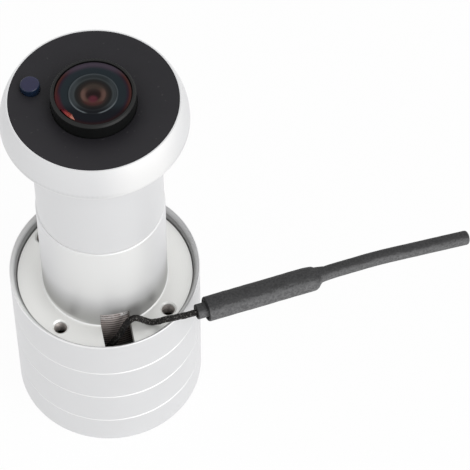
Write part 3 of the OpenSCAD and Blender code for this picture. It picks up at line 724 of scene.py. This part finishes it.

# %% [markdown]
# The crests of the thread are painted bright and the roots dark, as painted light
# and shade on the ridges, so the colour follows the distance from the axis between
# root and crest. Where the thread shows in the notch, its left is paler in
# mottled patches and its right has painted highlights as glints.

# %% Threaded aluminium
material, tree = finish("thread_metal")
drift = tree.noise(1.2, 3)
crest = tree.squeeze(tree.radius(), 10.42, 10.64)
# painted light and shade on the ridges: bright crests, dark roots
colour = tree.mix(crest, (0.10, 0.082, 0.078), (0.58, 0.52, 0.50))
colour = tree.mix(drift * 0.4, colour, (0.26, 0.22, 0.20))
height, across = tree.reach(upright), tree.reach((1, 0, 0))
haze = tree.squeeze(across, 1, -1.5) * tree.squeeze(tree.noise(0.5, 2), 0.35, 0.6)
haze = haze * tree.band(height, 31.5, 33.5, 35, 36)
colour = tree.mix(haze * 0.7, colour, (0.62, 0.60, 0.59))
# painted highlights: glints on the right of the thread in the notch
painted_glint = tree.squeeze(across, 0.8, 1.6) * tree.squeeze(tree.noise(0.4, 1), 0.42, 0.5)
painted_glint = painted_glint * tree.band(height, 32.5, 33.2, 35, 36)
colour = tree.mix(painted_glint, colour, (1.0, 0.98, 0.97))
tree.surface({
    "Base Color": colour, "Metallic": 0.7 - 0.7 * painted_glint, "Roughness": 0.3 + 0.2 * drift,
})
dress(material, "thread_tube")

# %% [markdown]
# The threads in the holes are too small for crests and roots and get a plain
# drift.

# %% Tapped holes
material, tree = finish("tapped_metal")
drift = tree.noise(0.6, 3)
colour = tree.mix(drift, (0.26, 0.23, 0.215), (0.46, 0.43, 0.41))
tree.surface({"Base Color": colour, "Metallic": 0.8, "Roughness": 0.3 + 0.2 * drift})
dress(material, *[piece.name for piece in threads])

# %% [markdown]
# The disc is painted satin black with a very fine texture and a few specks of
# dust. Its front is painted a little paler, as painted light.

# %% Painted disc
material, tree = finish("disc_black")
drift = tree.noise(3, 3)
grain = tree.noise(0.12, 2)
dust = tree.squeeze(tree.noise(0.55, 0), 0.80, 0.84)
colour = tree.mix(drift, (0.0105, 0.0098, 0.0125), (0.0142, 0.0134, 0.0165))
# painted light: the front of the disc is made paler
painted_light_front = tree.squeeze(tree.reach(frontward), 3, 13)
colour = tree.mix(painted_light_front * 0.5, colour, (0.019, 0.0175, 0.0205))
colour = tree.mix(dust * 0.2, colour, (0.10, 0.095, 0.095))
tree.surface({
    "Base Color": colour, "Roughness": 0.5 + 0.12 * grain, "Specular IOR Level": 0.28,
    "Normal": tree.bump(grain, 0.01, 0.35),
})
dress(material, "front_disc")

# %% [markdown]
# The lens mount is black anodised, smoother and darker.

# %% Lens mount
material, tree = finish("lens_black")
grain = tree.noise(0.1, 2)
drift = tree.noise(2, 2)
colour = tree.mix(drift, (0.0035, 0.0038, 0.0037), (0.0065, 0.007, 0.0068))
tree.surface({
    "Base Color": colour, "Roughness": 0.4 + 0.1 * grain, "Specular IOR Level": 0.28,
    "Normal": tree.bump(grain, 0.006, 0.3),
})
dress(material, "lens_barrel", "spacer_ring")

# %% [markdown]
# The lens coatings reflect a little coloured light, and here that reflection is
# painted into the colour together with the dark inside. The colour changes with
# the distance from the axis: red and brown at the rim, dark teal further in, a
# pale line at the edge of the hollow, and brown in the cup. A colour ramp holds
# that order of painted reflections and real colours.

# %% Rings of painted coating reflections
material, tree = finish("inner_coating")
radius = tree.radius()
across, away = tree.reach(rightward), tree.reach(backward)
# painted reflections of the coatings, ring by ring, over the dark inside
rings_and_reflections = tree.node("ShaderNodeValToRGB", {"stops": [
    (0.00, (0.022, 0.014, 0.014)), (0.12, (0.022, 0.014, 0.014)), (0.17, (0.032, 0.019, 0.018)),
    (0.22, (0.078, 0.045, 0.037)), (0.28, (0.108, 0.062, 0.048)), (0.345, (0.038, 0.028, 0.025)),
    (0.40, (0.024, 0.021, 0.020)), (0.46, (0.020, 0.021, 0.021)), (0.50, (0.042, 0.048, 0.050)),
    (0.54, (0.027, 0.032, 0.034)), (0.59, (0.032, 0.038, 0.041)), (0.618, (0.060, 0.069, 0.076)),
    (0.65, (0.022, 0.029, 0.034)), (0.82, (0.022, 0.029, 0.034)), (0.89, (0.029, 0.019, 0.028)),
    (0.935, (0.060, 0.021, 0.019)), (0.965, (0.080, 0.036, 0.033)), (0.99, (0.014, 0.006, 0.006)),
]}, {"Fac": radius / glass_r})
print("rings of the coatings ready")

# %% [markdown]
# The coatings aren't even all the way round, and the light on them is painted.
# The side away from the notch has a painted lilac reflection, the side above the
# notch is painted dark as shade, and the left of the rim has a painted maroon
# reflection. Low on both sides the edge of the hollow has painted pale arcs, and
# the sides inside it a paler band, both painted highlights.

# %% Painted light on the sides of the lens coatings
# painted reflection: lilac on the side away from the notch
far_reflection = tree.squeeze(radius, 5.2, 6.3) * tree.squeeze(away, 3.3, 5.6)
colour = tree.mix(far_reflection, rings_and_reflections, (0.062, 0.050, 0.068))
# painted shade on the side above the notch
colour = tree.mix(tree.squeeze(away, -1.7, -4.0) * 0.75, colour, (0.0105, 0.0098, 0.0125))
# painted highlights: pale arcs low on both sides of the edge of the hollow
bead_highlight = tree.band(radius, 4.02, 4.12, 4.28, 4.4)
bead_highlight = bead_highlight * tree.squeeze(across * across, 0.4, 2.5) * tree.squeeze(away, -0.5, -2.5)
colour = tree.mix(bead_highlight, colour, (0.115, 0.130, 0.140))
# painted highlight: a paler band at the sides
side_highlight = tree.band(radius, 3.2, 3.5, 4.2, 4.35) * tree.squeeze(across * across, 3, 11)
colour = tree.mix(side_highlight * 0.3, colour, (0.080, 0.092, 0.100))
# painted reflection: maroon at the left of the rim
maroon_reflection = tree.squeeze(radius, 5.4, 6.1) * tree.squeeze(across, -2.6, -4.4)
maroon_reflection = maroon_reflection * tree.squeeze(away, 0.6, -1.2)
colour = tree.mix(maroon_reflection * 0.5, colour, (0.085, 0.017, 0.022))
print("sides of the coatings ready")

# %% [markdown]
# The cup in the middle is brown at its sides, with painted highlights there, and
# painted dark at the back as shade. It is red in front, and a pink spot shows
# deep inside.

# %% Cup behind the glass
# painted highlights on the brown sides of the cup
cup_side_highlight = tree.band(radius, 1.2, 1.5, 2.0, 2.3) * tree.squeeze(across * across, 1, 3)
colour = tree.mix(cup_side_highlight * 0.5, colour, (0.135, 0.080, 0.070))
# painted shade at the back of the cup
cup_back_shade = tree.squeeze(radius, 2.6, 2.2) * tree.squeeze(away, 0.2, 1.8)
colour = tree.mix(cup_back_shade * 0.8, colour, (0.036, 0.032, 0.028))
cup_low = tree.squeeze(radius, 2.6, 2.2) * tree.squeeze(away, -1.1, -1.9)
colour = tree.mix(cup_low * 0.6, colour, (0.060, 0.018, 0.019))
from_spot = away + 0.95
spot = tree.node("ShaderNodeMath", {"operation": "SQRT"}, {0: across * across + from_spot * from_spot})
colour = tree.mix(tree.squeeze(spot, 1.15, 0.4) * 0.75, colour, (0.125, 0.030, 0.044))
tree.surface({"Base Color": colour, "Roughness": 0.4, "Specular IOR Level": 0.0})
dress(material, "glass_inner_face")

# %% [markdown]
# The dome itself is clear, apart from a red streak at the front left of its rim.
# It mirrors more when it is seen from low down, as glass does.

# %% Dome of the front glass
material, tree = finish("dome_glass")
across, away = tree.reach(rightward), tree.reach(backward)
around = 0.7 * (across - away) - 0.3
taper = 0.46 * tree.squeeze(around * around, 0.1, 2.6)
edge = tree.squeeze(tree.radius() - taper, 5.94, 5.98)
grazing = tree.squeeze(tree.node("ShaderNodeFresnel", {}, {"IOR": 1.5}), 0.2, 0.6)
edge = edge * tree.squeeze(around * around, 2.75, 2.65) * tree.squeeze(across + away, -3, -3.1)
streak = tree.mix(tree.squeeze(around, -1.2, 0.6), (0.040, 0.006, 0.008), (0.072, 0.014, 0.011))
streak = tree.mix(tree.squeeze(around, 0.5, 1.0), streak, (0.11, 0.045, 0.034))
colour = tree.mix(tree.squeeze(tree.radius(), 5.8, 5.9), (0.11, 0.105, 0.13), streak)
tree.surface({
    "Base Color": colour, "Metallic": 1.0, "Roughness": 0.2, "Alpha": edge + grazing * (1 - edge),
})
material.surface_render_method = "BLENDED"
dress(material, "front_glass")

# %% Other lenses
material, tree = finish("lens_glass")
drift = tree.noise(1.5, 1)
colour = tree.mix(drift, (0.10, 0.09, 0.14), (0.05, 0.09, 0.12))
tree.surface({"Base Color": colour, "Roughness": 0.06, "Alpha": 0.35 + 0.1 * drift})
dress(material, "front_lens", "second_lens", "rear_lens")

material, tree = finish("filter_glass")
drift = tree.noise(2, 1)
colour = tree.mix(drift, (0.30, 0.06, 0.08), (0.12, 0.10, 0.22))
tree.surface({"Base Color": colour, "Roughness": 0.08, "Alpha": 0.4 + 0.1 * drift})
dress(material, "ir_filter")

# %% Sensor, dark blue epoxy with a painted lit top
material, tree = finish("sensor_blue")
drift = tree.noise(0.8, 2)
# painted light: the top face is a lighter blue than the sides
painted_lit_top = tree.squeeze(tree.faces(upright), 0.5, 0.95)
colour = tree.mix(drift, (0.006, 0.014, 0.034), (0.009, 0.021, 0.048))
colour = tree.mix(painted_lit_top, colour, tree.mix(drift, (0.018, 0.018, 0.048), (0.026, 0.027, 0.070)))
tree.surface({"Base Color": colour, "Roughness": 0.2 + 0.1 * drift, "Specular IOR Level": 0.28})
dress(material, "light_sensor", "sensor_dome")

# %% [markdown]
# Heat-shrunk tube is matt. Its lower front side is painted pale, as a painted
# reflection of the pale floor, and the upper side stays dark. The mask for that
# asks how much the surface faces a direction. A noise that is stretched along the
# antenna breaks up the border, and it also streaks the roughness and the relief.
# The open mouth towards the lead is painted dark as painted shade.

# %% Shrunk tube
material, tree = finish("shrunk_tube")
laid_here = tree.node(
    "ShaderNodeMapping", {"vector_type": "POINT"},
    {"Vector": tree.here(), "Rotation": (0, 0, math.radians(-antenna_turn)), "Scale": (0.3, 1, 1)},
)
scuffs_and_reflection_edge = tree.noise(0.6, 4, laid_here)
cloud = tree.noise(2.5, 3)
grain = tree.noise(0.12, 2)
mottle = tree.squeeze(tree.noise(0.42, 3), 0.34, 0.66)
# painted reflection of the floor on the lower front side
facing = tree.faces((0.17, 0.82, 0.55)) + 0.7 * (scuffs_and_reflection_edge - 0.5) + 0.3 * (mottle - 0.5)
floor_reflection = tree.squeeze(facing, 0.18, -0.32)
colour = tree.mix(0.6 * mottle + 0.4 * cloud, (0.026, 0.026, 0.027), (0.056, 0.056, 0.057))
reflection_colour = tree.mix(0.6 * mottle + 0.4 * scuffs_and_reflection_edge, (0.084, 0.084, 0.086), (0.20, 0.20, 0.203))
# painted shade in the open mouth
mouth_shade = tree.squeeze(tree.faces(tuple(-antenna_axis)), 0.4, 0.85)
reflection_colour = tree.mix(mouth_shade, reflection_colour, (0.02, 0.02, 0.02))
colour = tree.mix(mouth_shade, colour, (0.012, 0.012, 0.012))
tree.surface({
    "Base Color": tree.mix(floor_reflection, colour, reflection_colour), "Roughness": 0.6 + 0.15 * scuffs_and_reflection_edge,
    "Specular IOR Level": 0.25, "Normal": tree.bump(grain + 0.8 * scuffs_and_reflection_edge, 0.02, 0.6),
})
dress(material, "shrink_sleeve", "antenna_rod", "ferrule_tube")

# %% [markdown]
# Two crossed sets of fine
# bands on the lead make the weave, with a few pale specks on it as painted
# highlights. The bands lie on Object coordinates, because the lead bends only
# gently.

# %% Woven jacket of the lead
material, tree = finish("woven_jacket")
strand_mm = 0.085
strands = []
for way in ((1.0, 0.4, 1.0), (1.0, -0.4, -1.0)):
    wave = tree.node("ShaderNodeMath", {"operation": "SINE"}, {0: tree.reach(way, strand_mm)})
    strands.append(0.5 + 0.5 * wave)
weave = tree.node("ShaderNodeMath", {"operation": "MAXIMUM"}, {0: strands[0], 1: strands[1]})
grain = tree.noise(0.35, 2)
# painted highlights: pale specks on the weave
speck = tree.squeeze(tree.noise(0.26, 1), 0.57, 0.68)
colour = tree.mix(weave * grain * 1.6, (0.002, 0.002, 0.0025), (0.026, 0.024, 0.023))
colour = tree.mix(speck * 0.6, colour, (0.22, 0.21, 0.20))
tree.surface({
    "Base Color": colour, "Roughness": 0.55 + 0.2 * grain, "Specular IOR Level": 0.14,
    "Normal": tree.bump(weave, 0.05, 0.8),
})
dress(material, "lead_jacket")

# %% [markdown]
# The back and the inside get plainer finishes with some life in them: moulded
# plastic with a fine texture, plated steel, solder mask, gold, and so on. One
# helper makes them from two colours, a patch size and a grain.


# %% Finishes of the back and the inside
def simple_finish(name, dark, light, patch_mm, roughness, grain_mm, grain_depth, metallic=0.0):
    material, tree = finish(name)
    drift = tree.noise(patch_mm, 3)
    grain = tree.noise(grain_mm, 2)
    tree.surface({
        "Base Color": tree.mix(drift, dark, light), "Metallic": metallic,
        "Roughness": roughness + 0.12 * grain, "Normal": tree.bump(grain, grain_depth, 0.5),
    })
    return material


dress(simple_finish("cover_plastic", (0.022, 0.022, 0.024), (0.032, 0.032, 0.034), 4, 0.5, 0.15, 0.03),
      "rear_cover")
dress(simple_finish("button_plastic", (0.05, 0.05, 0.055), (0.07, 0.07, 0.075), 2, 0.4, 0.12, 0.02),
      "reset_button")
dress(simple_finish("carrier_plastic", (0.03, 0.03, 0.032), (0.045, 0.045, 0.047), 3, 0.55, 0.2, 0.03),
      "lens_carrier")
dress(simple_finish("plated_steel", (0.52, 0.52, 0.54), (0.62, 0.62, 0.63), 1.5, 0.25, 0.1, 0.006, 1.0),
      "rear_screws", "sensor_screws", "core_circlip", "usb_socket", "card_socket", "wifi_module")
dress(simple_finish("seal_rubber", (0.02, 0.02, 0.02), (0.03, 0.03, 0.03), 1, 0.7, 0.1, 0.02),
      "front_seal")
dress(simple_finish("solder_mask", (0.012, 0.10, 0.045), (0.02, 0.16, 0.07), 2, 0.3, 0.3, 0.01),
      "main_board", "sensor_board")
dress(simple_finish("chip_mould", (0.016, 0.016, 0.017), (0.026, 0.026, 0.027), 1, 0.55, 0.08, 0.02),
      "processor", "reset_switch", "image_sensor")
dress(simple_finish("connector_ivory", (0.62, 0.57, 0.46), (0.72, 0.67, 0.56), 1.5, 0.4, 0.1, 0.01),
      "board_connector", "sensor_connector")
dress(simple_finish("gold_plate", (0.70, 0.50, 0.18), (0.82, 0.62, 0.28), 0.8, 0.2, 0.08, 0.005, 1.0),
      "antenna_socket", "antenna_plug")
dress(simple_finish("turned_brass", (0.58, 0.44, 0.20), (0.70, 0.55, 0.28), 2, 0.25, 0.1, 0.006, 1.0),
      "pillars")
dress(simple_finish("ribbon_film", (0.68, 0.68, 0.70), (0.78, 0.78, 0.80), 3, 0.35, 0.3, 0.005),
      "ribbon_cable")
dress(simple_finish("lamp_white", (0.70, 0.70, 0.60), (0.85, 0.85, 0.75), 0.6, 0.35, 0.1, 0.005),
      "status_led")
dress(simple_finish("light_guide", (0.60, 0.63, 0.63), (0.78, 0.80, 0.80), 0.8, 0.12, 0.1, 0.004),
      "light_pipe")
dress(simple_finish("wire_red", (0.30, 0.03, 0.025), (0.42, 0.05, 0.04), 1, 0.4, 0.1, 0.01),
      "sensor_leads")
dress(simple_finish("hidden_black", (0.02, 0.02, 0.02), (0.03, 0.03, 0.03), 1, 0.5, 0.1, 0.01),
      "antenna_lead", "antenna_ferrule", "antenna_sleeve", "antenna_whip")

# %% [markdown]
# The stage is a plain white floor under soft light. Rays from the camera, from
# glossy metal and through glass see the floor and the world as white. The floor
# still takes a soft shadow, because part of its look is a plain white paint.

# %% Floor and world
clear_selection()
bpy.ops.mesh.primitive_circle_add(vertices=96, radius=4, fill_type="NGON", location=(0, 0, -0.0002))
floor = bpy.context.object
floor.name = "studio_floor"


def sees_white(tree):
    """1 for rays from the camera, off glossy surfaces or through glass."""
    kinds = ("Camera", "Glossy", "Transmission")
    rays = [tree.node("ShaderNodeLightPath", output="Is " + kind + " Ray") for kind in kinds]
    return tree.node("ShaderNodeMath", {"operation": "MINIMUM"}, {0: rays[0] + rays[1] + rays[2], 1: 1.0})


floor_glow, sky_light = 0.95, 0.52
material, tree = finish("floor_white")
paint = tree.node("ShaderNodeBsdfDiffuse", {}, {"Color": (0.95, 0.95, 0.95, 1)})
white = tree.node("ShaderNodeEmission", {}, {"Color": (1, 1, 1, 1), "Strength": 1.0})
both = tree.node("ShaderNodeMixShader", {}, {0: sees_white(tree) * floor_glow, 1: paint, 2: white})
tree.node("ShaderNodeOutputMaterial", {}, {"Surface": both})
floor.data.materials.append(material)

world = bpy.data.worlds.new("studio_world")
bpy.context.scene.world = world
tree = NodeTree(world)
brightness = sky_light + (1 - sky_light) * sees_white(tree)
sky = tree.node("ShaderNodeBackground", {}, {"Color": (1, 1, 1, 1), "Strength": brightness})
tree.node("ShaderNodeOutputWorld", {}, {"Surface": sky})
print("floor and world ready")


# %% Lamps
lamp_target = Vector((0, 0, 0.06))


def soft_lamp(name, place, size, watts, roll_deg=0):
    """A lamp of the given width and height that faces the head of the camera."""
    data = bpy.data.lights.new(name, "AREA")
    data.shape = "RECTANGLE"
    data.size, data.size_y = size
    data.energy = watts
    lamp = bpy.data.objects.new(name, data)
    bpy.context.scene.collection.objects.link(lamp)
    lamp.location = place
    facing = (lamp_target - Vector(place)).to_track_quat("-Z", "Y").to_matrix().to_4x4()
    lamp.rotation_euler = (facing @ Matrix.Rotation(math.radians(roll_deg), 4, "Z")).to_euler()


soft_lamp("key_lamp", place=(0.53, -0.60, 0.72), size=(0.8, 0.8), watts=5.6)
soft_lamp("side_lamp", place=(-0.64, -0.10, 0.63), size=(0.5, 0.04), watts=0.6, roll_deg=23)
bpy.context.scene.view_settings.view_transform = "Standard"
print("lamps ready")
